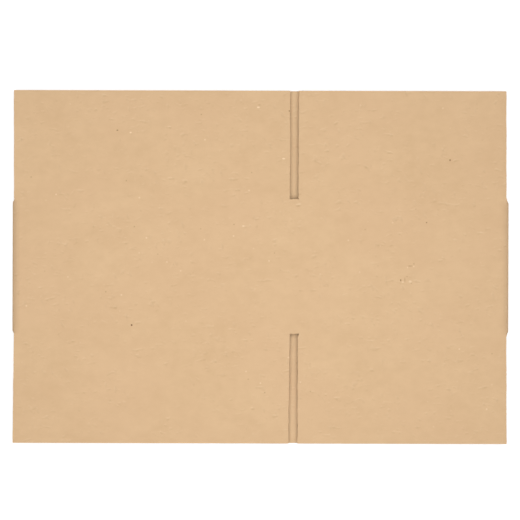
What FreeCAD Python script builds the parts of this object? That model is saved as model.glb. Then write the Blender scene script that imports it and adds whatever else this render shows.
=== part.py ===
"""A flattened cardboard box: one blank of single-wall corrugated board, slotted, glued into a sleeve and pressed flat.

The box lies on its back, outer front face up. X runs along the length and width panels, Y along the flutes, from
the lower flaps to the upper ones, and Z is up. The origin is the middle of the underside. The front layer is a
length panel on the left and a width panel on the right. The back layer is the other two, which meet at the glued
joint. A flap's side is half a slot from its crease, so the folds stand a little proud of the flaps beside them.
"""

import FreeCAD
import Part
import Sketcher

import math
import os

NODE = "flattened_box"

SIZES = [
    ("panel_length", 202.0, "left fold's crease to the front slot's centre"),
    ("panel_width", 154.0, "front slot's centre to the right fold's crease"),
    ("panel_height", 96.0, "lower flap scores to upper flap scores"),
    ("flap_depth", 77.0, "flap score to the flap's free edge"),
    ("slot_width", 6.5, "gap between two neighbouring flaps"),
    ("slot_overrun", 0.5, "how far a slot runs past the flap scores"),
    ("board_caliper", 3.0, "thickness of the whole board"),
    ("liner_caliper", 0.35, "thickness of each flat paper of the board"),
    ("medium_caliper", 0.3, "thickness of the wavy paper between them"),
    ("flute_pitch", 6.5, "length of one wave"),
    ("flute_angle", 50.0, "slope of the wave's flanks, in degrees"),
    ("fold_take_up", 2.0, "width that each fold takes from a layer"),
    ("fold_caliper", 2.2, "thickness of the crushed board at a fold's nose"),
    ("nose_radius", 3.2, "outer radius at the tip of a fold"),
    ("shoulder_radius", 8.0, "outer radius where a layer rolls into a fold"),
    ("tab_reach", 32.0, "joint's crease to the glue tab's free edge"),
    ("tab_caliper", 2.0, "thickness of the crushed glue tab"),
    ("tab_clearance", 0.3, "air between the glue tab and the front layer"),
    ("tab_end_gap", 1.5, "flap score to the corner of the tab's root"),
    ("tab_taper", 8.0, "how much shorter the tab's free edge is at each end"),
    ("joint_gap", 3.0, "joint's crease to the cut edge of the glued panel"),
    ("joint_bend", 6.0, "joint's crease to where the board starts to rise"),
    ("score_width", 2.4, "width of a score pressed into the inner face"),
    ("score_depth", 0.2, "depth of a score"),
]

LAYER_GAP = "(Sizes.tab_caliper + Sizes.tab_clearance)"
FRONT_INNER_Z = f"(Sizes.board_caliper + {LAYER_GAP})"
STACK = f"(2 * Sizes.board_caliper + {LAYER_GAP})"
HALF_SPREAD = "((Sizes.panel_length + Sizes.panel_width) / 2)"
HALF_WIDTH = f"({HALF_SPREAD} - Sizes.fold_take_up)"
FLAP_SIDE_X = f"({HALF_SPREAD} - Sizes.slot_width / 2)"
FRONT_CREASE_X = "((Sizes.panel_length - Sizes.panel_width) / 2)"
JOINT_X = f"(-{FRONT_CREASE_X})"
BEND_X = f"({JOINT_X} + Sizes.joint_bend)"
CUT_DEPTH = f"(Sizes.board_caliper + {LAYER_GAP} / 2)"
SCORE_Y = "(Sizes.panel_height / 2)"
SLEEVE_END_Y = f"({SCORE_Y} - Sizes.slot_overrun)"
FREE_EDGE_Y = f"({SCORE_Y} + Sizes.flap_depth)"
TAB_ROOT_Y = f"({SCORE_Y} - Sizes.tab_end_gap)"

NOSE_X = f"({HALF_WIDTH} - Sizes.nose_radius)"
ROLL = "(Sizes.shoulder_radius - Sizes.nose_radius)"
ROLL_DROP = f"(Sizes.shoulder_radius - {STACK} / 2)"
FLAT_END_X = f"({NOSE_X} - sqrt({ROLL}^2 - {ROLL_DROP}^2))"
CAVITY_END_X = f"({HALF_WIDTH} - Sizes.fold_caliper - {LAYER_GAP} / 2)"

SINE = "sin(Sizes.flute_angle * 1 deg)"
COSINE = "cos(Sizes.flute_angle * 1 deg)"
CORE = "(Sizes.board_caliper - 2 * Sizes.liner_caliper)"
ARCH_HEIGHT = f"({CORE} - Sizes.medium_caliper)"
ARCH_HALF = f"(Sizes.flute_pitch / 4 + ({CORE} * {COSINE} - Sizes.medium_caliper) / (2 * {SINE}))"
CREST_RADIUS = f"(({ARCH_HALF} * {SINE} - {ARCH_HEIGHT} * {COSINE}) / (1 - {COSINE}))"
CREST_FLATS = 5
HALF_TURN = f"(Sizes.flute_angle / {CREST_FLATS + 1} * 1 deg)"
WAVES = f"floor(2 * {FLAT_END_X} / Sizes.flute_pitch)"


def make_sheet(doc):
    sheet = doc.addObject("Spreadsheet::Sheet", "Sizes")
    for row, (alias, size, meaning) in enumerate(SIZES, start=1):
        sheet.set(f"A{row}", meaning)
        sheet.set(f"B{row}", str(size))
        sheet.setAlias(f"B{row}", alias)
    doc.recompute()


class Drawing:
    """A sketch on one of the body's origin planes. Its sizes are expressions on the sheet."""

    def __init__(self, body, plane, name, offset=None):
        self.sheet = body.Document.Sizes
        self.sketch = body.newObject("Sketcher::SketchObject", name)
        support = next(f for f in body.Origin.OriginFeatures if f.Role == plane)
        self.sketch.AttachmentSupport = [(support, "")]
        self.sketch.MapMode = "FlatFace"
        if offset:
            self.sketch.setExpression("AttachmentOffset.Base.z", offset)

    def number(self, size):
        return float(self.sheet.evalExpression(size))

    def point(self, x, y):
        return FreeCAD.Vector(self.number(x), self.number(y), 0)

    def rule(self, kind, *geometry):
        return self.sketch.addConstraint(Sketcher.Constraint(kind, *geometry))

    def size(self, kind, *geometry, to):
        index = self.rule(kind, *geometry, self.number(to))
        self.sketch.setExpression(f"Constraints[{index}]", to)

    def place(self, shape, end, x=None, y=None):
        """Ties a point to its distances from the origin: end 1 or 2 of a line or arc, or 3, an arc's centre."""
        if x is not None:
            self.size("DistanceX", -1, 1, shape, end, to=x)
        if y is not None:
            self.size("DistanceY", -1, 1, shape, end, to=y)

    def line(self, start, end):
        return self.sketch.addGeometry(Part.LineSegment(self.point(*start), self.point(*end)))

    def arc(self, centre, radius, start, end):
        """An arc that turns anticlockwise from one angle to another, in radians, with its radius tied."""
        circle = Part.Circle(self.point(*centre), FreeCAD.Vector(0, 0, 1), self.number(radius))
        arc = self.sketch.addGeometry(Part.ArcOfCircle(circle, start, end))
        self.size("Radius", arc, to=radius)
        return arc

    def outline(self, corners):
        """A closed outline of straight lines, with every corner tied."""
        lines = [self.line(here, after) for here, after in zip(corners, corners[1:] + corners[:1])]
        for line, after, corner in zip(lines, lines[1:] + lines[:1], corners):
            self.rule("Coincident", line, 2, after, 1)
            self.place(line, 1, *corner)

    def rectangle(self, low_x, low_y, high_x, high_y):
        self.outline([(low_x, low_y), (high_x, low_y), (high_x, high_y), (low_x, high_y)])


def feature(body, kind, name, sketch, length=None, sides="One side", reverse=False, through=False):
    """A pad or a pocket. A pad grows along its sketch's normal and a pocket cuts against it, unless reversed."""
    made = body.newObject(f"PartDesign::{kind}", name)
    made.Profile = sketch
    made.SideType = sides
    made.Reversed = reverse
    if through:
        made.Type = "ThroughAll"
    else:
        made.setExpression("Length", length)
    body.Document.recompute()
    return made


def mirror_ends(body, name, original):
    """Repeats a feature of the upper flaps on the lower ones."""
    made = body.newObject("PartDesign::Mirrored", name)
    made.Originals = [original]
    plane = next(f for f in body.Origin.OriginFeatures if f.Role == "XZ_Plane")
    made.MirrorPlane = (plane, [""])
    body.Tip = made
    body.Document.recompute()
    return made


def sleeve(body):
    """The four panels between the flap scores: a flat tube that is rolled over at its left and right folds."""
    drawing = Drawing(body, "XZ_Plane", "SleeveSection")
    middle = f"({STACK} / 2)"
    sweep = math.acos(drawing.number(ROLL_DROP) / drawing.number(ROLL))
    low, high = "Sizes.shoulder_radius", f"({STACK} - Sizes.shoulder_radius)"
    right, left = FLAT_END_X, f"(-{FLAT_END_X})"
    quarter = math.pi / 2
    under = drawing.line((left, "0"), (right, "0"))
    low_right = drawing.arc((right, low), "Sizes.shoulder_radius", -quarter, sweep - quarter)
    nose_right = drawing.arc((NOSE_X, middle), "Sizes.nose_radius", sweep - quarter, quarter - sweep)
    high_right = drawing.arc((right, high), "Sizes.shoulder_radius", quarter - sweep, quarter)
    top = drawing.line((right, STACK), (left, STACK))
    high_left = drawing.arc((left, high), "Sizes.shoulder_radius", quarter, quarter + sweep)
    nose_left = drawing.arc((f"(-{NOSE_X})", middle), "Sizes.nose_radius", quarter + sweep, 3 * quarter - sweep)
    low_left = drawing.arc((left, low), "Sizes.shoulder_radius", 3 * quarter - sweep, 3 * quarter)
    around = [under, low_right, nose_right, high_right, top, high_left, nose_left, low_left]
    for here, after in zip(around, around[1:] + around[:1]):
        drawing.rule("Tangent", here, 2, after, 1)
    drawing.rule("Horizontal", under)
    drawing.rule("Horizontal", top)
    drawing.place(under, 1, y="0")
    drawing.place(top, 1, y=STACK)
    drawing.place(nose_right, 3, NOSE_X, middle)
    drawing.place(nose_left, 3, f"(-{NOSE_X})", middle)

    inner_radius = f"({LAYER_GAP} / 2)"
    right, left = CAVITY_END_X, f"(-{CAVITY_END_X})"
    floor_line = drawing.line((left, "Sizes.board_caliper"), (right, "Sizes.board_caliper"))
    inner_right = drawing.arc((right, middle), inner_radius, -quarter, quarter)
    roof_line = drawing.line((right, FRONT_INNER_Z), (left, FRONT_INNER_Z))
    inner_left = drawing.arc((left, middle), inner_radius, quarter, 3 * quarter)
    inside = [floor_line, inner_right, roof_line, inner_left]
    for here, after in zip(inside, inside[1:] + inside[:1]):
        drawing.rule("Tangent", here, 2, after, 1)
    drawing.place(inner_right, 3, right, middle)
    drawing.place(inner_left, 3, left, middle)
    feature(body, "Pad", "Sleeve", drawing.sketch, f"2 * {SLEEVE_END_Y}", "Symmetric")


def flaps(body):
    """The flaps of both layers, first as two whole strips at the upper end, then mirrored to the lower end."""
    drawing = Drawing(body, "XZ_Plane", "FlapSection", f"-{FREE_EDGE_Y}")
    drawing.rectangle(f"(-{FLAP_SIDE_X})", "0", FLAP_SIDE_X, "Sizes.board_caliper")
    drawing.rectangle(f"(-{FLAP_SIDE_X})", FRONT_INNER_Z, FLAP_SIDE_X, STACK)
    strips = feature(body, "Pad", "UpperFlaps", drawing.sketch, f"{FREE_EDGE_Y} - {SLEEVE_END_Y}")
    mirror_ends(body, "LowerFlaps", strips)


def scores(body):
    """The creasing wheels' marks on the inner faces: across every flap's root, and along the front layer's crease."""
    half = "Sizes.score_width / 2"
    across = Drawing(body, "YZ_Plane", "FlapScoreSection")
    low_z = "(Sizes.board_caliper - Sizes.score_depth)"
    high_z = f"({FRONT_INNER_Z} + Sizes.score_depth)"
    across.rectangle(f"({SCORE_Y} - {half})", low_z, f"({SCORE_Y} + {half})", high_z)
    upper = feature(body, "Pocket", "UpperFlapScores", across.sketch, f"2 * {CAVITY_END_X}", "Symmetric")
    mirror_ends(body, "LowerFlapScores", upper)

    along = Drawing(body, "XZ_Plane", "FrontCreaseSection")
    crease_ends = f"({FRONT_CREASE_X} - {half})", f"({FRONT_CREASE_X} + {half})"
    along.rectangle(crease_ends[0], FRONT_INNER_Z, crease_ends[1], high_z)
    feature(body, "Pocket", "FrontCrease", along.sketch, f"2 * {SLEEVE_END_Y}", "Symmetric")


def slots(body):
    """The cuts that part neighbouring flaps: one line of them through the front layer, one through the back."""
    half = "Sizes.slot_width / 2"
    front = Drawing(body, "XY_Plane", "FrontSlotOutline", STACK)
    back = Drawing(body, "XY_Plane", "BackSlotOutline")
    for side in ("", "-"):
        ends = f"{side}{SLEEVE_END_Y}", f"{side}{FREE_EDGE_Y}"
        low_y, high_y = ends if not side else ends[::-1]
        front.rectangle(f"({FRONT_CREASE_X} - {half})", low_y, f"({FRONT_CREASE_X} + {half})", high_y)
        back.rectangle(f"({JOINT_X} - Sizes.joint_gap)", low_y, f"({JOINT_X} + {half})", high_y)
    feature(body, "Pocket", "FrontSlots", front.sketch, CUT_DEPTH)
    feature(body, "Pocket", "BackSlots", back.sketch, CUT_DEPTH, reverse=True)


def glue_tab(body):
    """The manufacturer's joint: the gap between the back panels, and the crushed tab on the width panel's inner
    face."""
    gap = Drawing(body, "XY_Plane", "JointGapOutline")
    gap.rectangle(f"({JOINT_X} - Sizes.joint_gap)", f"-{SLEEVE_END_Y}", BEND_X, SLEEVE_END_Y)
    feature(body, "Pocket", "JointGap", gap.sketch, CUT_DEPTH, reverse=True)

    tab = Drawing(body, "XY_Plane", "GlueTabOutline", "Sizes.board_caliper")
    free_x = f"({JOINT_X} - Sizes.tab_reach)"
    free_y = f"({TAB_ROOT_Y} - Sizes.tab_taper)"
    tab.outline([(JOINT_X, f"-{TAB_ROOT_Y}"), (JOINT_X, TAB_ROOT_Y), (free_x, free_y), (free_x, f"-{free_y}")])
    feature(body, "Pad", "GlueTab", tab.sketch, "Sizes.tab_caliper")


def crest_corner(turns):
    """Half width and height of a corner between two of a crest's flats, a number of half turns from its top."""
    half_width = f"({CREST_RADIUS} * sin({turns} * {HALF_TURN}) / cos({HALF_TURN}))"
    height = f"({ARCH_HEIGHT} - {CREST_RADIUS} * (1 - cos({turns} * {HALF_TURN}) / cos({HALF_TURN})))"
    return half_width, height


def arch(drawing, centre_x, base_z, up):
    """The air under one crest of the wave, standing on a liner or hanging from it. Narrow flats round its crest."""
    sign = "+" if up else "-"
    corners = [(ARCH_HALF, "0")] + [crest_corner(turns) for turns in range(CREST_FLATS, 0, -2)]
    rising = [(f"({centre_x} + {half})", f"({base_z} {sign} {height})") for half, height in corners]
    falling = [(f"({centre_x} - {half})", f"({base_z} {sign} {height})") for half, height in reversed(corners)]
    drawing.outline(rising + falling)


def wave(drawing, centre_x):
    """The air of one whole wave in both layers: one arch on the outer liner and one on the inner."""
    outer_x = f"({centre_x} - Sizes.flute_pitch / 4)"
    inner_x = f"({centre_x} + Sizes.flute_pitch / 4)"
    arch(drawing, outer_x, "Sizes.liner_caliper", up=True)
    arch(drawing, inner_x, "(Sizes.board_caliper - Sizes.liner_caliper)", up=False)
    arch(drawing, inner_x, f"({FRONT_INNER_Z} + Sizes.liner_caliper)", up=True)
    arch(drawing, outer_x, f"({STACK} - Sizes.liner_caliper)", up=False)


def flutes(body):
    """The open flutes. They run the whole height of the blank as far out as the crushed folds, and the flaps'
    outermost wave runs on its own from the free edge to the score."""
    last = Drawing(body, "XZ_Plane", "FlapEdgeFluteSection", f"-{FREE_EDGE_Y}")
    wave(last, f"(-({WAVES} + 1) / 2 * Sizes.flute_pitch)")
    wave(last, f"(({WAVES} + 1) / 2 * Sizes.flute_pitch)")
    depth = "(Sizes.flap_depth - Sizes.score_width)"
    upper = feature(body, "Pocket", "UpperFlapEdgeFlutes", last.sketch, depth, reverse=True)
    mirror_ends(body, "LowerFlapEdgeFlutes", upper)

    first = Drawing(body, "XZ_Plane", "FluteSection")
    wave(first, f"(-({WAVES} - 1) / 2 * Sizes.flute_pitch)")
    one = feature(body, "Pocket", "FirstFlutes", first.sketch, sides="Symmetric", through=True)
    row = body.newObject("PartDesign::LinearPattern", "Flutes")
    row.Originals = [one]
    row.Direction = (next(f for f in body.Origin.OriginFeatures if f.Role == "X_Axis"), [""])
    row.Mode = "Spacing"
    row.setExpression("Offset", "Sizes.flute_pitch")
    row.setExpression("Occurrences", WAVES)
    body.Tip = row
    body.Document.recompute()


def joint_bend(body):
    """The back length panel's edge, crushed solid, which climbs over the width panel's cut edge to its tab."""
    section = Drawing(body, "XZ_Plane", "JointBendSection")
    under = rise(section, "0", "Sizes.board_caliper")
    over = rise(section, "Sizes.board_caliper", "(Sizes.board_caliper + Sizes.tab_caliper)")
    for below, above in zip(under, over):
        ends = section.sketch.Geometry[below].EndPoint, section.sketch.Geometry[above].EndPoint
        closing = section.sketch.addGeometry(Part.LineSegment(*ends))
        section.rule("Coincident", below, 2, closing, 1)
        section.rule("Coincident", above, 2, closing, 2)
    feature(body, "Pad", "JointBend", section.sketch, f"2 * {TAB_ROOT_Y}", "Symmetric")


def rise(drawing, foot_z, head_z):
    """An S of two equal arcs that climbs from the bend's foot to the joint's crease. Returns both arcs."""
    run = "Sizes.joint_bend"
    climb = f"({head_z} - {foot_z})"
    radius = f"(({run}^2 + {climb}^2) / (4 * {climb}))"
    turn = math.asin(drawing.number(run) / 2 / drawing.number(radius))
    down, up = 3 * math.pi / 2, math.pi / 2
    foot = drawing.arc((BEND_X, f"({foot_z} + {radius})"), radius, down - turn, down)
    head = drawing.arc((JOINT_X, f"({head_z} - {radius})"), radius, up - turn, up)
    drawing.rule("Tangent", foot, 1, head, 1)
    drawing.place(foot, 3, BEND_X, f"({foot_z} + {radius})")
    drawing.place(foot, 2, x=BEND_X)
    drawing.place(head, 3, x=JOINT_X)
    drawing.place(head, 2, x=JOINT_X)
    return foot, head


def main():
    doc = FreeCAD.newDocument("FlattenedBox")
    make_sheet(doc)
    body = doc.addObject("PartDesign::Body", "FlattenedBox")
    body.Label = NODE
    sleeve(body)
    flaps(body)
    scores(body)
    slots(body)
    glue_tab(body)
    flutes(body)
    joint_bend(body)
    doc.recompute()
    for item in doc.Objects:
        if {"Invalid", "Error"} & set(item.State):
            raise RuntimeError(f"{item.Name} failed: {item.State}")
    shape = body.Shape
    if shape.isNull() or not shape.isValid() or len(shape.Solids) != 1:
        raise RuntimeError(f"{NODE} isn't one valid solid")
    os.makedirs("parts", exist_ok=True)
    shape.exportStep(f"parts/{NODE}.step")
    box = shape.BoundBox
    print(NODE, "volume", round(shape.Volume, 1), "box", box.XLength, box.YLength, box.ZLength, "faces", len(shape.Faces))


main()
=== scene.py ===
"""Looks of the flattened cardboard box.

Each of the board's three papers is drawn as a flat blank, cut, frayed along its cuts, given its thickness
and then folded round the sleeve. In a flat paper X runs along the blank from the joint's crease, Y along the
flutes and Z down into the board from its outer face. All sizes are in metres.
"""

import math

import bmesh
import bpy
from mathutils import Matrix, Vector, noise


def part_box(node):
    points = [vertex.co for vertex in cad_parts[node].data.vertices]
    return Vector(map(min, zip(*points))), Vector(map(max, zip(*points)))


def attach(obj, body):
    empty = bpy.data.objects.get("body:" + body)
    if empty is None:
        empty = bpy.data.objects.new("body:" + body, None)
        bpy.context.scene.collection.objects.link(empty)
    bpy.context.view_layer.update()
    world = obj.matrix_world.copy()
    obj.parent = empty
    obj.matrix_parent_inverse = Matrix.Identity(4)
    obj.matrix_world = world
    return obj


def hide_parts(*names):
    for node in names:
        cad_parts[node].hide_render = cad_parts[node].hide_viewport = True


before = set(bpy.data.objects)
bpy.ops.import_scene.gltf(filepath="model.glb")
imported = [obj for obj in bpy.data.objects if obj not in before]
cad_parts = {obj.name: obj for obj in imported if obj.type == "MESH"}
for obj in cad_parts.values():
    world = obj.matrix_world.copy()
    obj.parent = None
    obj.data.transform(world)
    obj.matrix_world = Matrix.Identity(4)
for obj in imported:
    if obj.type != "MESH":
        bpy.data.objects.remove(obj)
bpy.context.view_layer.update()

NODE = "flattened_box"
MM = 0.001
BOX_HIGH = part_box(NODE)[1]
HALF_WIDTH = BOX_HIGH.x
FREE_EDGE = BOX_HIGH.y
STACK = BOX_HIGH.z
MIDDLE = STACK / 2

# The blank's panels, flaps and tab
LENGTH_PANEL = 202 * MM
WIDTH_PANEL = 154 * MM
SCORE = 48 * MM
SLOT = 6.5 * MM
SLOT_END = SCORE - 0.5 * MM
JOINT_GAP = 3 * MM
TAB = 32 * MM
TAB_ROOT = SCORE - 1.5 * MM
TAB_TAPER = 8 * MM
JOINT_BEND = 6 * MM
RIGHT_FOLD = LENGTH_PANEL
FRONT_CREASE = RIGHT_FOLD + WIDTH_PANEL
LEFT_FOLD = FRONT_CREASE + LENGTH_PANEL
CUT_EDGE = LEFT_FOLD + WIDTH_PANEL - JOINT_GAP
CREASES = (RIGHT_FOLD, FRONT_CREASE, LEFT_FOLD)
SLOT_SIDES = [crease + side * SLOT / 2 for crease in CREASES for side in (-1, 1)]
FOLD_X = (LENGTH_PANEL + WIDTH_PANEL) / 2
JOINT_X = (WIDTH_PANEL - LENGTH_PANEL) / 2

# The board's papers, and how far they are crushed
BOARD = 3 * MM
LINER = 0.35 * MM
MEDIUM = 0.28 * MM
PITCH = 6.5 * MM
TAB_CALIPER = 2 * MM
FOLD_CALIPER = 2.2 * MM
NOSE_RADIUS = 3.2 * MM
SHOULDER_RADIUS = 8 * MM
SCORE_REACH = 1.6 * MM
SCORE_DEPTH = 0.3 * MM
EDGE_REACH = 0.9 * MM
EDGE_CRUSH = 0.12
LAYER_GAP = STACK - 2 * BOARD

# Where a fold's round stretches begin, measured from the sleeve's middle
NOSE_X = HALF_WIDTH - NOSE_RADIUS
ROLL = SHOULDER_RADIUS - NOSE_RADIUS
SHOULDER_TURN = math.acos((SHOULDER_RADIUS - MIDDLE) / ROLL)
FLAT_END = NOSE_X - ROLL * math.sin(SHOULDER_TURN)
NOSE_ARC = NOSE_RADIUS * (math.pi / 2 - SHOULDER_TURN)
FOLD_HALF = NOSE_ARC + SHOULDER_RADIUS * SHOULDER_TURN
CAVITY_RADIUS = LAYER_GAP / 2
CAVITY_END = HALF_WIDTH - FOLD_CALIPER - CAVITY_RADIUS
CAVITY_ARC = CAVITY_RADIUS * math.pi / 2
CAVITY_HALF = CAVITY_ARC + CAVITY_END - FLAT_END

# How far the flaps leave their panels' plane at the free edge, and how evenly they do it
FRONT_DROOP = 0.7 * MM
BACK_LIFT = 0.5 * MM
SAG_CURVE = 1.6
SAG_MEAN = 0.75
SAG_VARIES = 0.35
SAG_WAVES_ALONG = 9
SAG_WAVES_ACROSS = 7
SAG_SEED = 3

# How far the cut sides of the front flaps stand off their places along X, in millimetres:
# the left side at the flap's root and at its free corner, then the right side
SIDE_SHIFTS = {
    ("length", "upper"): (0.1, -0.25, -0.1, 0),
    ("width", "upper"): (-0.5, -0.3, -0.7, -0.9),
    ("length", "lower"): (0.2, -0.6, 0, -0.7),
    ("width", "lower"): (-0.7, -0.75, -0.6, -0.1),
}

# How much shorter the back flaps are cut, and the lines between which a rolled fold gives way to flat flaps
BACK_TRIM = 1.3 * MM
BODY_ENDS = 44.5 * MM
FLAP_BEGINS = 49 * MM

# How far a fold is drawn in beside its notches, and over what length that and a flap's own shift begin
FOLD_TUCK = 1 * MM
TUCK_REACH = 2 * MM

# Roughness of the cuts, and how far up the ends of the front slots lie
RAGGED_SLOT = 0.35 * MM
RAGGED_EDGE = 0.06 * MM
RAGGED_GRAIN = 1.6 * MM
RAGGED_WAVE = 13 * MM
RAGGED_CUTS = 3
SLOT_RISE = 0.55 * MM

# Lines of a paper's grid: how far off a cut they lie, where they cross the flaps' roots, how far past the
# joint's bend one lies, the widest steps between them, and how near to each other two of them count as one
OFF_CUT = (0.5 * MM, 1.2 * MM, 2.4 * MM)
ROOT_LINES = (45.5 * MM, 46.5 * MM, 50 * MM, 52 * MM)
PAST_BEND = 4 * MM
FOLD_STEP = 0.6 * MM
LINER_STEP_ALONG = 9 * MM
LINER_STEP_ACROSS = 6 * MM
MEDIUM_STEP_ALONG = PITCH / 10
MEDIUM_STEP_ACROSS = 25 * MM
STEP_SLACK = 0.001
SAME_LINE = 0.05 * MM

# A point this near to a line lies on it
ON_LINE = 0.01 * MM

# How squarely a flat paper's face looks across or along the blank to be part of a cut rim, and a sharp turn
RIM_ACROSS = 0.7
RIM_ALONG = 0.9
SHARP_TURN = math.radians(50)

# Tones as the usual 0 to 255 numbers, each paper's dark one before its light one
OUTER_TONES = ((213, 177, 136), (229, 195, 154))
INNER_TONES = ((211, 178, 138), (227, 196, 156))
MEDIUM_TONES = ((184, 146, 104), (208, 172, 128))
RIM_TONES = ((188, 151, 108), (224, 189, 144))
WARM_TINT = (223, 186, 147)
# The pale fibre tone is partly paler fibres and partly a painted highlight on their lit side. The dark fibre
# tone is a painted shadow beside each fibre
PALE_FIBRE_AND_HIGHLIGHT = (238, 208, 170)
FIBRE_SHADOW = (198, 160, 119)
PALE_FLECK = (250, 224, 190)
DARK_FLECK = (160, 120, 80)
BARK = (96, 58, 28)
BRUISE = (168, 130, 92)
SHADE = (206, 170, 130)
FLAKE = (243, 214, 178)
# A pale mark that is partly a scuff and partly a painted highlight on the lit side of a dent
CHIP_AND_HIGHLIGHT = (235, 204, 166)

# The liners' fibres: thickness, how many times as long they are, turn from the blank's length, and strength
FIBRES = [
    (2.6 * MM, 2.6, math.radians(3), 1),
    (2.5 * MM, 1.6, math.radians(-12), 0.8),
    (2.5 * MM, 2.4, math.radians(-72), 1),
]
FIBRE_RARITY = 0.61
FIBRE_SOFTNESS = 0.25
FIBRE_GROUP = 16 * MM
FIBRE_PATCH = 4 * MM
# The dark fibres are the pale ones shifted a little: a painted shadow cast beside each fibre
FIBRE_SHADOW_SHIFT = (0.3 * MM, -0.9 * MM, 0)
PALE_FIBRE_AND_HIGHLIGHT_STRENGTH = 0.38
FIBRE_SHADOW_STRENGTH = 0.36

# The liners' flecks: width of the cells that may hold one, its size, the share that do, shift and tone
FLECKS = [
    (7 * MM, 0.9 * MM, 0.055, (0, 0, 0), PALE_FLECK),
    (8 * MM, 0.7 * MM, 0.04, (3 * MM, 5 * MM, 0), DARK_FLECK),
]
FLECK_CORE = 0.3
FLECK_STRENGTH = 0.45

# The front face's marks: how far right of the box's middle and above it, half width and half height, all in
# millimetres, and tone. A mark is whole inside its core and gone past its fade, as shares of its size
# The pale chip marks about 100 mm right of the middle are partly painted highlights beside the painted shade
# of the SHADE marks
MARKS = [
    (-91.1, -41.3, 0.6, 0.6, BARK),
    (99.3, -9.1, 0.5, 0.8, BRUISE),
    (100.7, -10.4, 0.9, 0.6, CHIP_AND_HIGHLIGHT),
    (102.2, -8.8, 0.5, 1.7, SHADE),
    (103.8, -6.5, 0.8, 0.4, SHADE),
    (106.0, -10.0, 1.2, 0.9, CHIP_AND_HIGHLIGHT),
    (106.8, -11.3, 0.5, 0.4, SHADE),
    (106.0, 1.0, 1.8, 0.6, SHADE),
    (108.6, 2.6, 0.6, 0.7, SHADE),
    (108.5, 0.7, 0.5, 0.5, CHIP_AND_HIGHLIGHT),
    (104.1, 0.0, 0.4, 0.7, CHIP_AND_HIGHLIGHT),
    (117.5, 31.8, 0.5, 0.5, BRUISE),
    (-12.2, 29.0, 0.9, 0.5, FLAKE),
    (-1.8, 113.1, 1.1, 0.6, FLAKE),
    (-1.0, 114.8, 1.2, 0.4, SHADE),
    (20.1, 110.6, 0.4, 0.6, BRUISE),
    (16.2, 76.8, 1.1, 0.6, FLAKE),
    (-92.2, 95.0, 0.8, 0.6, FLAKE),
    (-101.6, 96.6, 0.7, 0.5, BRUISE),
    (134.0, 76.0, 0.6, 0.8, BRUISE),
]
MARK_CORE = 0.5
MARK_FADE = 1.3

# The light and the floor
AMBIENT = 0.05
WINDOW_STRENGTH = 1.29
WINDOW_FROM = (0.09, 0, 1)
WINDOW_SPREAD = math.radians(78)
SOFTBOX_POWER = 2.55
SOFTBOX_SIZE = 0.7
SOFTBOX_PLACE = (0, -0.03, 0.6)
SOFTBOX_TARGET = (0, -0.03, 0)
FLOOR_HALF = 6
FLOOR_TONE = 0.86
FLOOR_GLOW = 0.5
FLOOR_CLEARANCE = 0.05 * MM
SHEEN = 0.25

# The photograph's frame, and the pixel in it that shows the box's middle
FRAME_PIXELS = 520
PIXEL = 0.7079 * MM
CENTRE_PIXEL = Vector((260.5, 267.05))
LENS = 135
SENSOR = 36
TURN = math.radians(0.15)


def smooth(value):
    """A smooth step from 0 to 1."""
    value = min(max(value, 0), 1)
    return value * value * (3 - 2 * value)


def on_front(along):
    return RIGHT_FOLD <= along < LEFT_FOLD


def flat_point(along, depth):
    """The folded place of a point of a panel or flap that stays flat."""
    if on_front(along):
        return Vector((FOLD_X - (along - RIGHT_FOLD), STACK - depth))
    if along < RIGHT_FOLD:
        return Vector((JOINT_X + along, depth))
    return Vector((along - LEFT_FOLD - FOLD_X, depth))


def fold_point(past_tip, depth):
    """A place on the right fold, from its distance past the fold's tip, measured on the outer face."""
    side = math.copysign(1, past_tip)
    far = abs(past_tip)
    if far < NOSE_ARC:
        centre_x, centre_z, radius = NOSE_X, 0, NOSE_RADIUS
        angle = far / NOSE_RADIUS
    else:
        centre_x, centre_z, radius = FLAT_END, MIDDLE - SHOULDER_RADIUS, SHOULDER_RADIUS
        angle = math.pi / 2 - (FOLD_HALF - far) / SHOULDER_RADIUS
    outer = Vector((centre_x + radius * math.cos(angle), centre_z + radius * math.sin(angle)))
    inside = far / FOLD_HALF * CAVITY_HALF
    if inside < CAVITY_ARC:
        angle = inside / CAVITY_RADIUS
        inner = Vector((CAVITY_END + CAVITY_RADIUS * math.cos(angle), CAVITY_RADIUS * math.sin(angle)))
    else:
        inner = Vector((CAVITY_END - (inside - CAVITY_ARC), CAVITY_RADIUS))
    place = outer.lerp(inner, depth / BOARD)
    return Vector((place.x, MIDDLE + side * place.y))


def joint_point(along, depth):
    """A place on the tab or on the bend that climbs to it."""
    climb = smooth((JOINT_BEND - along) / JOINT_BEND)
    outer = climb * BOARD
    inner = BOARD + climb * TAB_CALIPER
    return Vector((JOINT_X + along, outer + (inner - outer) * depth / BOARD))


def sleeve_point(along, depth):
    """The folded place of a point between the flap scores."""
    if along < JOINT_BEND:
        return joint_point(along, depth)
    if abs(along - RIGHT_FOLD) < FOLD_HALF:
        return fold_point(along - RIGHT_FOLD, depth)
    if abs(along - LEFT_FOLD) < FOLD_HALF:
        place = fold_point(LEFT_FOLD - along, depth)
        return Vector((-place.x, place.y))
    return flat_point(along, depth)


def flap_sag(along, across):
    """How far a flap has left its panel's plane: the front ones droop and the back ones lift."""
    reach = max(abs(across) - SCORE, 0) / (FREE_EDGE - SCORE)
    waves = Vector((along * SAG_WAVES_ALONG, across * SAG_WAVES_ACROSS, SAG_SEED))
    uneven = SAG_MEAN + SAG_VARIES * noise.noise(waves)
    return reach ** SAG_CURVE * uneven * (-FRONT_DROOP if on_front(along) else BACK_LIFT)


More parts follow.
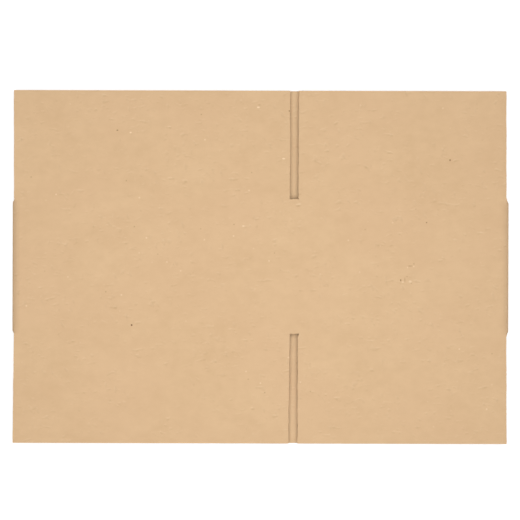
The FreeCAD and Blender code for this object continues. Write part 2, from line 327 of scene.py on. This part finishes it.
def flap_shift(along, across):
    """How far trimming and a slight swing have moved a flap's points along X."""
    if abs(across) < SLOT_END:
        return 0
    past_root = smooth((abs(across) - SLOT_END) / TUCK_REACH)
    if along < RIGHT_FOLD:
        return -past_root * BACK_TRIM * max(along, 0) / LENGTH_PANEL
    if along > LEFT_FOLD:
        return past_root * BACK_TRIM * (CUT_EDGE - along) / WIDTH_PANEL
    panel, right_end, width = "width", RIGHT_FOLD, WIDTH_PANEL
    if along > FRONT_CREASE:
        panel, right_end, width = "length", FRONT_CREASE, LENGTH_PANEL
    root_left, free_left, root_right, free_right = SIDE_SHIFTS[panel, "upper" if across > 0 else "lower"]
    reach = (abs(across) - SLOT_END) / (FREE_EDGE - SLOT_END)
    left = root_left + (free_left - root_left) * reach
    right = root_right + (free_right - root_right) * reach
    return past_root * (right + (left - right) * (along - right_end) / width) * MM


def distance_to_cut(along, across):
    """How far a place of the flat blank is from the nearest cut."""
    distance = FREE_EDGE - abs(across)
    if abs(across) > SCORE:
        for crease in (0, *CREASES):
            distance = min(distance, abs(abs(along - crease) - SLOT / 2))
    return min(distance, abs(CUT_EDGE - along))


def crushed_depth(along, across, depth):
    """The board's depth where scoring and cutting have pressed it thinner."""
    cut = EDGE_CRUSH * math.exp(-distance_to_cut(along, across) / EDGE_REACH)
    depth = BOARD / 2 + (depth - BOARD / 2) * (1 - cut)
    off_score = abs(abs(across) - SCORE)
    if abs(across) < SCORE:
        off_score = min(off_score, abs(along - FRONT_CREASE))
    pressed = SCORE_DEPTH * math.exp(-((off_score / SCORE_REACH) ** 2))
    return depth - pressed * (depth / BOARD) ** 2


def folded(flat):
    """The folded place of a point of the flat blank, never past the CAD model's box."""
    along, across, depth = flat
    depth = crushed_depth(along, across, depth)
    from_tip = min(abs(along - RIGHT_FOLD), abs(along - LEFT_FOLD))
    flap = smooth((abs(across) - BODY_ENDS) / (FLAP_BEGINS - BODY_ENDS))
    flap *= smooth((from_tip - SLOT / 4) / (SLOT / 4))
    if along < SLOT / 2:
        flap = 0
    place = sleeve_point(along, depth).lerp(flat_point(along, depth), flap)
    height = place.y + flap_sag(along, across)
    side = place.x + flap_shift(along, across)
    if from_tip < FOLD_HALF:
        tuck = FOLD_TUCK * smooth((abs(across) - SLOT_END) / TUCK_REACH + 1) * (1 - flap)
        side -= math.copysign(tuck, side)
    return Vector((
        min(max(side, -HALF_WIDTH), HALF_WIDTH),
        min(max(across, -FREE_EDGE), FREE_EDGE),
        min(max(height, 0), STACK),
    ))


def stops(marks, step):
    """Evenly spaced values that run through every mark, at most a step apart."""
    values = [marks[0]]
    for here, after in zip(marks, marks[1:]):
        count = max(1, math.ceil((after - here) / step - STEP_SLACK))
        values += [here + (after - here) * index / count for index in range(1, count + 1)]
    return values


def merged(*lists):
    """Sorted values of several lists, without those that lie a hair from their neighbour."""
    values = sorted(value for each in lists for value in each)
    kept = values[:1]
    for value in values[1:]:
        if value - kept[-1] > SAME_LINE:
            kept.append(value)
    return kept


def lines_across(marks, step):
    """Grid lines across the whole blank, from the marks of its upper half."""
    half = stops(marks, step)
    return merged([-value for value in half], half)


def drawn_sheet(along_stops, across_stops):
    """A flat grid of paper: a point is drawn out across the blank and the line then along it."""
    bm = bmesh.new()
    last = bm.verts.new((along_stops[0], across_stops[0], 0))
    for here, after in zip(across_stops, across_stops[1:]):
        out = bmesh.ops.extrude_vert_indiv(bm, verts=[last])
        last = out["verts"][0]
        bmesh.ops.translate(bm, verts=[last], vec=(0, after - here, 0))
    edges = bm.edges[:]
    for here, after in zip(along_stops, along_stops[1:]):
        out = bmesh.ops.extrude_edge_only(bm, edges=edges)["geom"]
        moved = [item for item in out if isinstance(item, bmesh.types.BMVert)]
        ends = set(moved)
        edges = [item for item in out if isinstance(item, bmesh.types.BMEdge) and ends.issuperset(item.verts)]
        bmesh.ops.translate(bm, verts=moved, vec=(after - here, 0, 0))
    return bm


def is_waste(face):
    """True for the paper that the slots and the joint's corners take out of the blank."""
    along, across, _ = face.calc_center_median()
    if abs(across) < SLOT_END:
        return False
    return along < SLOT / 2 or any(abs(along - crease) < SLOT / 2 for crease in CREASES)


def cut_out(bm):
    """Cuts the slots, and tapers the tab's ends."""
    bmesh.ops.delete(bm, geom=[face for face in bm.faces if is_waste(face)], context="FACES")
    for vert in bm.verts:
        if vert.co.x < 0:
            end = TAB_ROOT + TAB_TAPER * vert.co.x / TAB
            vert.co.y *= end / SLOT_END


def at_free_edge(vert):
    return FREE_EDGE - abs(vert.co.y) < ON_LINE


def fray(bm, seed, amount_by_slots, amount_by_edges):
    """Frays the sheet's cut edges: more in the slots, less along the blank's long edges."""
    rims = [edge for edge in bm.edges if edge.is_boundary and not all(map(at_free_edge, edge.verts))]
    by_slots = [edge for edge in rims if edge.calc_length() > RAGGED_GRAIN / 2]
    bmesh.ops.subdivide_edges(bm, edges=by_slots, cuts=RAGGED_CUTS)
    grain = 1 / RAGGED_GRAIN
    for vert in bm.verts:
        if not vert.is_boundary:
            continue
        place = Vector((vert.co.x * grain, vert.co.y * grain, seed))
        wave = Vector((vert.co.x / RAGGED_WAVE, vert.co.y / RAGGED_WAVE, 0))
        bite = 0.5 + 0.5 * noise.noise(wave) + 0.5 * noise.noise(place)
        if at_free_edge(vert):
            vert.co.y -= math.copysign(amount_by_edges * bite, vert.co.y)
        elif abs(abs(vert.co.y) - SLOT_END) < ON_LINE:
            vert.co.y += math.copysign(2 * amount_by_slots * (bite - 0.5), vert.co.y)
            if abs(vert.co.x - FRONT_CREASE) < SLOT:
                vert.co.y += SLOT_RISE
        elif abs(vert.co.y) > SLOT_END:
            vert.co.x += amount_by_slots * (bite - 0.5)


def thickened(bm, thickness, sink):
    """Gives a flat sheet its thickness and moves it down into the board. Folding keeps its faces outwards."""
    bmesh.ops.solidify(bm, geom=bm.faces[:], thickness=thickness)
    bmesh.ops.recalc_face_normals(bm, faces=bm.faces[:])
    lowest = min(vert.co.z for vert in bm.verts)
    bmesh.ops.translate(bm, verts=bm.verts[:], vec=(0, 0, sink - lowest))


def finished_piece(bm, name, materials):
    """Folds a flat paper and makes it a piece of the box. Its cut rims get the second material."""
    bmesh.ops.triangulate(bm, faces=[face for face in bm.faces if len(face.verts) > 4])
    blank = bm.loops.layers.uv.new("blank")
    for face in bm.faces:
        face.smooth = True
        face.material_index = int(abs(face.normal.y) > RIM_ACROSS or abs(face.normal.x) > RIM_ALONG)
        for loop in face.loops:
            loop[blank].uv = loop.vert.co.xy
    for vert in bm.verts:
        vert.co = folded(vert.co)
    bm.normal_update()
    for edge in bm.edges:
        edge.smooth = edge.is_manifold and edge.calc_face_angle(0) < SHARP_TURN
    mesh = bpy.data.meshes.new(name)
    bm.to_mesh(mesh)
    bm.free()
    for material in materials:
        mesh.materials.append(material)
    piece = bpy.data.objects.new(name, mesh)
    bpy.context.scene.collection.objects.link(piece)
    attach(piece, "root")
    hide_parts(NODE)
    return piece


def liner_lines():
    """Lines of a liner's grid: close together round folds, creases, cuts and scores, wide apart between."""
    joint = [-TAB, -JOINT_BEND / 2, 0, SLOT / 2, JOINT_BEND, JOINT_BEND + PAST_BEND]
    near_sides = [side + way * off for side in [SLOT / 2, *SLOT_SIDES] for off in OFF_CUT for way in (-1, 1)]
    near_cut = [CUT_EDGE - off for off in (0, *OFF_CUT)]
    folds = []
    for tip in (RIGHT_FOLD, LEFT_FOLD):
        folds += stops([tip - FOLD_HALF, tip + FOLD_HALF], FOLD_STEP)
    marks = merged(joint, near_cut, SLOT_SIDES, near_sides, CREASES)
    along = merged(stops(marks, LINER_STEP_ALONG), folds)
    roots = sorted([BODY_ENDS, SLOT_END, SCORE, FLAP_BEGINS, *ROOT_LINES])
    near_free_edge = [FREE_EDGE - off for off in reversed((0, *OFF_CUT))]
    return along, lines_across([0, *roots, *near_free_edge], LINER_STEP_ACROSS)


def liner(name, seed, sink, materials):
    bm = drawn_sheet(*liner_lines())
    cut_out(bm)
    fray(bm, seed, RAGGED_SLOT, RAGGED_EDGE)
    thickened(bm, LINER, sink)
    return finished_piece(bm, name, materials)


def medium_lines():
    """Lines of the wavy paper's grid, close enough along the blank to draw every flute as a smooth wave."""
    along = merged(stops([-TAB, 0, SLOT / 2, *SLOT_SIDES, CUT_EDGE], MEDIUM_STEP_ALONG))
    roots = [BODY_ENDS, SLOT_END, SCORE, FLAP_BEGINS, ROOT_LINES[-1]]
    return along, lines_across([0, *roots, FREE_EDGE - OFF_CUT[1], FREE_EDGE], MEDIUM_STEP_ACROSS)


def fluted_medium(name, seed, materials):
    """The wavy paper, whose crests are glued to both liners. It frays less in the slots than they do."""
    bm = drawn_sheet(*medium_lines())
    cut_out(bm)
    fray(bm, seed, RAGGED_SLOT / 2, RAGGED_EDGE * 1.5)
    swing = (BOARD - 2 * LINER - MEDIUM) / 2
    for vert in bm.verts:
        vert.co.z = swing * math.cos(2 * math.pi * vert.co.x / PITCH)
    thickened(bm, MEDIUM, LINER)
    return finished_piece(bm, name, materials)


class Shade:
    """A socket of a material's nodes. Sums, differences, products and powers of shades add Math nodes."""

    def __init__(self, tree, socket=None):
        self.tree = tree
        self.socket = socket

    def node(self, kind, settings, inputs, output=0):
        """Any other node: its settings are made first, then its inputs, each a value or a shade."""
        made = self.tree.nodes.new(kind)
        for name, setting in settings.items():
            setattr(made, name, setting)
        for name, given in inputs.items():
            if isinstance(given, Shade):
                self.tree.links.new(given.socket, made.inputs[name])
            else:
                made.inputs[name].default_value = given
        return Shade(self.tree, made.outputs[output])

    def math(self, operation, *values):
        return self.node("ShaderNodeMath", {"operation": operation}, dict(enumerate(values)))

    def __add__(self, other):
        return self.math("ADD", self, other)

    __radd__ = __add__

    def __sub__(self, other):
        return self.math("SUBTRACT", self, other)

    def __rsub__(self, other):
        return self.math("SUBTRACT", other, self)

    def __mul__(self, other):
        return self.math("MULTIPLY", self, other)

    __rmul__ = __mul__

    def __pow__(self, other):
        return self.math("POWER", self, other)

    def between(self, low, high):
        """A smooth mask that is 0 at low and 1 at high."""
        return self.node("ShaderNodeMapRange", {"interpolation_type": "SMOOTHSTEP"},
                         {"Value": self, "From Min": low, "From Max": high})

    def mixed(self, first, second):
        """The first colour where this mask is 0 and the second where it is 1."""
        return self.node("ShaderNodeMix", {"data_type": "RGBA"}, {0: self, 6: first, 7: second}, 2)


def linear(red, green, blue):
    """A shader's colour from the usual 0 to 255 numbers, by the curve that screens use."""
    parts = []
    for part in (red, green, blue):
        part /= 255
        parts.append(part / 12.92 if part <= 0.04045 else ((part + 0.055) / 1.055) ** 2.4)
    return (*parts, 1)


def placed(shade, vector, shift, turn, scale):
    """Coordinates of a pattern that is shifted, turned and drawn out on the paper."""
    inputs = {"Vector": vector, "Location": shift, "Rotation": (0, 0, turn), "Scale": scale}
    return shade.node("ShaderNodeMapping", {"vector_type": "TEXTURE"}, inputs)


def drawn_noise(shade, vector, size, detail=2, stretch=(1, 1, 1), shift=(0, 0, 0), turn=0, rough=0.5):
    """Noise with features of a given size, drawn out by the stretch along each axis, then turned."""
    place = placed(shade, vector, shift, turn, [size * part for part in stretch])
    inputs = {"Vector": place, "Scale": 1, "Detail": detail, "Roughness": rough}
    return shade.node("ShaderNodeTexNoise", {}, inputs)


def fibre_marks(shade, vector, shift):
    """Fibres in loose groups: most lie along the blank, and some steeply across it."""
    groups = drawn_noise(shade, vector, FIBRE_GROUP, stretch=(1.3, 1, 1), shift=(2, 4, 6))
    patchy = drawn_noise(shade, vector, FIBRE_PATCH, detail=1, shift=(5, 1, 7)).between(0.4, 0.6)
    marks = 0
    for size, length, turn, strength in FIBRES:
        peaks = drawn_noise(shade, vector, size, 0, (length, 1, 1), shift, turn)
        marks = marks + peaks.between(FIBRE_RARITY, FIBRE_RARITY + FIBRE_SOFTNESS) * strength
    return marks * patchy * groups.between(0.35, 0.6)


def flecks(shade, vector, cell, size, share, shift):
    """Small spots of uneven strength: one in a share of the cells that the paper is parted into."""
    place = placed(shade, vector, shift, 0, (cell, cell, cell))
    flat = {"voronoi_dimensions": "2D"}
    distance = shade.node("ShaderNodeTexVoronoi", flat, {"Vector": place, "Scale": 1}, "Distance")
    lot = shade.node("ShaderNodeTexVoronoi", flat, {"Vector": place, "Scale": 1}, "Color")
    luck = shade.node("ShaderNodeSeparateColor", {}, {"Color": lot}, "Blue")
    spot = 1 - distance.between(FLECK_CORE * size / cell, size / cell)
    return spot * luck.between(1 - share, 1) ** 2


def mark_mask(shade, vector, right, above, half_width, half_height):
    """1 in the middle of a mark on the front face, and 0 past its size."""
    middle = (right * MM, above * MM, STACK)
    place = placed(shade, vector, middle, 0, (half_width * MM, half_height * MM, STACK))
    distance = shade.node("ShaderNodeVectorMath", {"operation": "LENGTH"}, {0: place}, "Value")
    return 1 - distance.between(MARK_CORE, MARK_FADE)


def new_material(name):
    material = bpy.data.materials.new(name)
    material.use_nodes = True
    tree = material.node_tree
    surface = tree.nodes["Principled BSDF"]
    surface.inputs["Specular IOR Level"].default_value = SHEEN
    return material, surface, Shade(tree)


def varied(tones, *patterns):
    """A colour between a dark and a light tone, from pairs of a noise and how strongly it shows."""
    dark, light = tones
    tone = 0
    for pattern, strength in patterns:
        tone = tone + (pattern - 0.5) * strength
    return (tone + 0.5).between(0.1, 0.9).mixed(linear(*dark), linear(*light))


def connect(shade, surface, colour, roughness, height, distance, strength=1):
    """Feeds a surface's colour, roughness and bump."""
    bump = shade.node("ShaderNodeBump", {}, {"Strength": strength, "Distance": distance, "Height": height})
    links = shade.tree.links
    links.new(colour.socket, surface.inputs["Base Color"])
    links.new(roughness.socket, surface.inputs["Roughness"])
    links.new(bump.socket, surface.inputs["Normal"])


def kraft_liner_material(name, tones):
    """Smooth brown liner: cloudy tone, fibres in loose groups with a painted highlight on them and a painted
    shadow beside them, sparse pale and dark flecks, and the marks, whose pale chips are partly painted
    highlights.
    """
    material, surface, shade = new_material(name)
    place = shade.node("ShaderNodeTexCoord", {}, {}, "Object")
    cloud = drawn_noise(shade, place, 26 * MM, detail=3, stretch=(1.6, 1, 1))
    formation = drawn_noise(shade, place, 6 * MM, stretch=(1.3, 1, 1), shift=(7, 2, 0))
    grain = drawn_noise(shade, place, 0.6 * MM, detail=3, stretch=(5, 1, 1), shift=(3, 5, 0), rough=0.6)
    base = varied(tones, (cloud, 0.34), (formation, 0.36), (grain, 0.08))
    warm = drawn_noise(shade, place, 60 * MM, detail=1, shift=(1, 9, 0)).between(0.35, 0.75)
    base = (warm * 0.35).mixed(base, linear(*WARM_TINT))
    # Pale fibres with a painted highlight, then the same fibres shifted a little as their painted shadow
    pale_and_lit_fibres = fibre_marks(shade, place, (0, 0, 0))
    dark = fibre_marks(shade, place, FIBRE_SHADOW_SHIFT)
    base = (pale_and_lit_fibres * PALE_FIBRE_AND_HIGHLIGHT_STRENGTH).mixed(base, linear(*PALE_FIBRE_AND_HIGHLIGHT))
    base = (dark * FIBRE_SHADOW_STRENGTH).mixed(base, linear(*FIBRE_SHADOW))
    for *kind, tone in FLECKS:
        base = (flecks(shade, place, *kind) * FLECK_STRENGTH).mixed(base, linear(*tone))
    for *where, tone in MARKS:
        base = mark_mask(shade, place, *where).mixed(base, linear(*tone))
    height = formation * 0.3 + grain * 0.15 + (pale_and_lit_fibres - dark) * 0.06
    connect(shade, surface, base, 0.8 + grain * 0.12, height, distance=0.03 * MM, strength=0.6)
    return material


def medium_material():
    """The duller, rougher wavy paper."""
    material, surface, shade = new_material("medium_paper")
    place = shade.node("ShaderNodeTexCoord", {}, {}, "Object")
    formation = drawn_noise(shade, place, 2 * MM, detail=3)
    grain = drawn_noise(shade, place, 0.4 * MM, detail=3, stretch=(1, 3, 1))
    base = varied(MEDIUM_TONES, (formation, 0.7), (grain, 0.6))
    connect(shade, surface, base, 0.88 + grain * 0.08, grain, distance=0.05 * MM)
    return material


def cut_edge_material():
    """Torn fibre ends along the cuts."""
    material, surface, shade = new_material("cut_edge")
    place = shade.node("ShaderNodeTexCoord", {}, {}, "Object")
    fuzz = drawn_noise(shade, place, 0.3 * MM, detail=4)
    patches = drawn_noise(shade, place, 4 * MM)
    base = varied(RIM_TONES, (fuzz, 0.9), (patches, 0.6))
    connect(shade, surface, base, 0.92 + fuzz * 0.05, fuzz, distance=0.08 * MM)
    return material


def seen_ray(shade):
    """1 for rays that show the background, in the camera, in gloss and through glass."""
    path = shade.tree.nodes.new("ShaderNodeLightPath")
    rays = ("Is Camera Ray", "Is Glossy Ray", "Is Transmission Ray")
    camera, gloss, glass = [Shade(shade.tree, path.outputs[ray]) for ray in rays]
    return shade.math("MAXIMUM", shade.math("MAXIMUM", camera, gloss), glass)


def light_world():
    """A white background that gives the box itself only a little light."""
    world = bpy.data.worlds.new("white_studio")
    bpy.context.scene.world = world
    world.use_nodes = True
    shade = Shade(world.node_tree)
    background = world.node_tree.nodes["Background"]
    background.inputs["Color"].default_value = (1, 1, 1, 1)
    strength = seen_ray(shade) * (1 - AMBIENT) + AMBIENT
    world.node_tree.links.new(strength.socket, background.inputs["Strength"])


def make_floor():
    """A wide white floor. A little glow that only the eye sees lifts it to the white of the background."""
    bm = bmesh.new()
    bmesh.ops.create_grid(bm, x_segments=1, y_segments=1, size=FLOOR_HALF)
    mesh = bpy.data.meshes.new("floor")
    bm.to_mesh(mesh)
    bm.free()
    material, surface, shade = new_material("floor_paper")
    surface.inputs["Base Color"].default_value = (FLOOR_TONE, FLOOR_TONE, FLOOR_TONE, 1)
    surface.inputs["Roughness"].default_value = 0.9
    surface.inputs["Emission Color"].default_value = (1, 1, 1, 1)
    shade.tree.links.new((seen_ray(shade) * FLOOR_GLOW).socket, surface.inputs["Emission Strength"])
    mesh.materials.append(material)
    floor = bpy.data.objects.new("floor", mesh)
    floor.location.z = -FLOOR_CLEARANCE
    bpy.context.scene.collection.objects.link(floor)


def add_lamp(name, kind, energy, place, target, **settings):
    """A lamp that looks from its place at the target."""
    data = bpy.data.lights.new(name, kind)
    data.energy = energy
    for setting, value in settings.items():
        setattr(data, setting, value)
    lamp = bpy.data.objects.new(name, data)
    lamp.location = place
    lamp.rotation_euler = (Vector(target) - Vector(place)).to_track_quat("-Z", "Y").to_euler()
    bpy.context.scene.collection.objects.link(lamp)


def make_camera():
    """Looks straight down. The box lies a little off the middle of the frame and turned by a hair."""
    data = bpy.data.cameras.new("camera")
    data.lens = LENS
    data.sensor_width = SENSOR
    camera = bpy.data.objects.new("camera", data)
    bpy.context.scene.collection.objects.link(camera)
    height = FRAME_PIXELS * PIXEL * LENS / SENSOR
    off = (Vector((FRAME_PIXELS / 2, FRAME_PIXELS / 2)) - CENTRE_PIXEL) * PIXEL
    side = off.x * math.cos(TURN) + off.y * math.sin(TURN)
    up = off.x * math.sin(TURN) - off.y * math.cos(TURN)
    camera.location = (side, up, STACK + height)
    camera.rotation_euler = (0, 0, TURN)
    bpy.context.scene.camera = camera


def main():
    outer_finish = kraft_liner_material("outer_kraft", OUTER_TONES)
    inner_finish = kraft_liner_material("inner_kraft", INNER_TONES)
    medium_finish = medium_material()
    rim_finish = cut_edge_material()
    liner("outer_liner", seed=1, sink=0, materials=[outer_finish, rim_finish])
    liner("inner_liner", seed=5, sink=BOARD - LINER, materials=[inner_finish, rim_finish])
    fluted_medium("fluted_medium", seed=9, materials=[medium_finish, rim_finish])
    light_world()
    make_floor()
    add_lamp("window", "SUN", WINDOW_STRENGTH, WINDOW_FROM, (0, 0, 0), angle=WINDOW_SPREAD)
    add_lamp("overhead_softbox", "AREA", SOFTBOX_POWER, SOFTBOX_PLACE, SOFTBOX_TARGET,
             shape="DISK", size=SOFTBOX_SIZE)
    make_camera()
    bpy.context.scene.view_settings.view_transform = "Standard"


main()
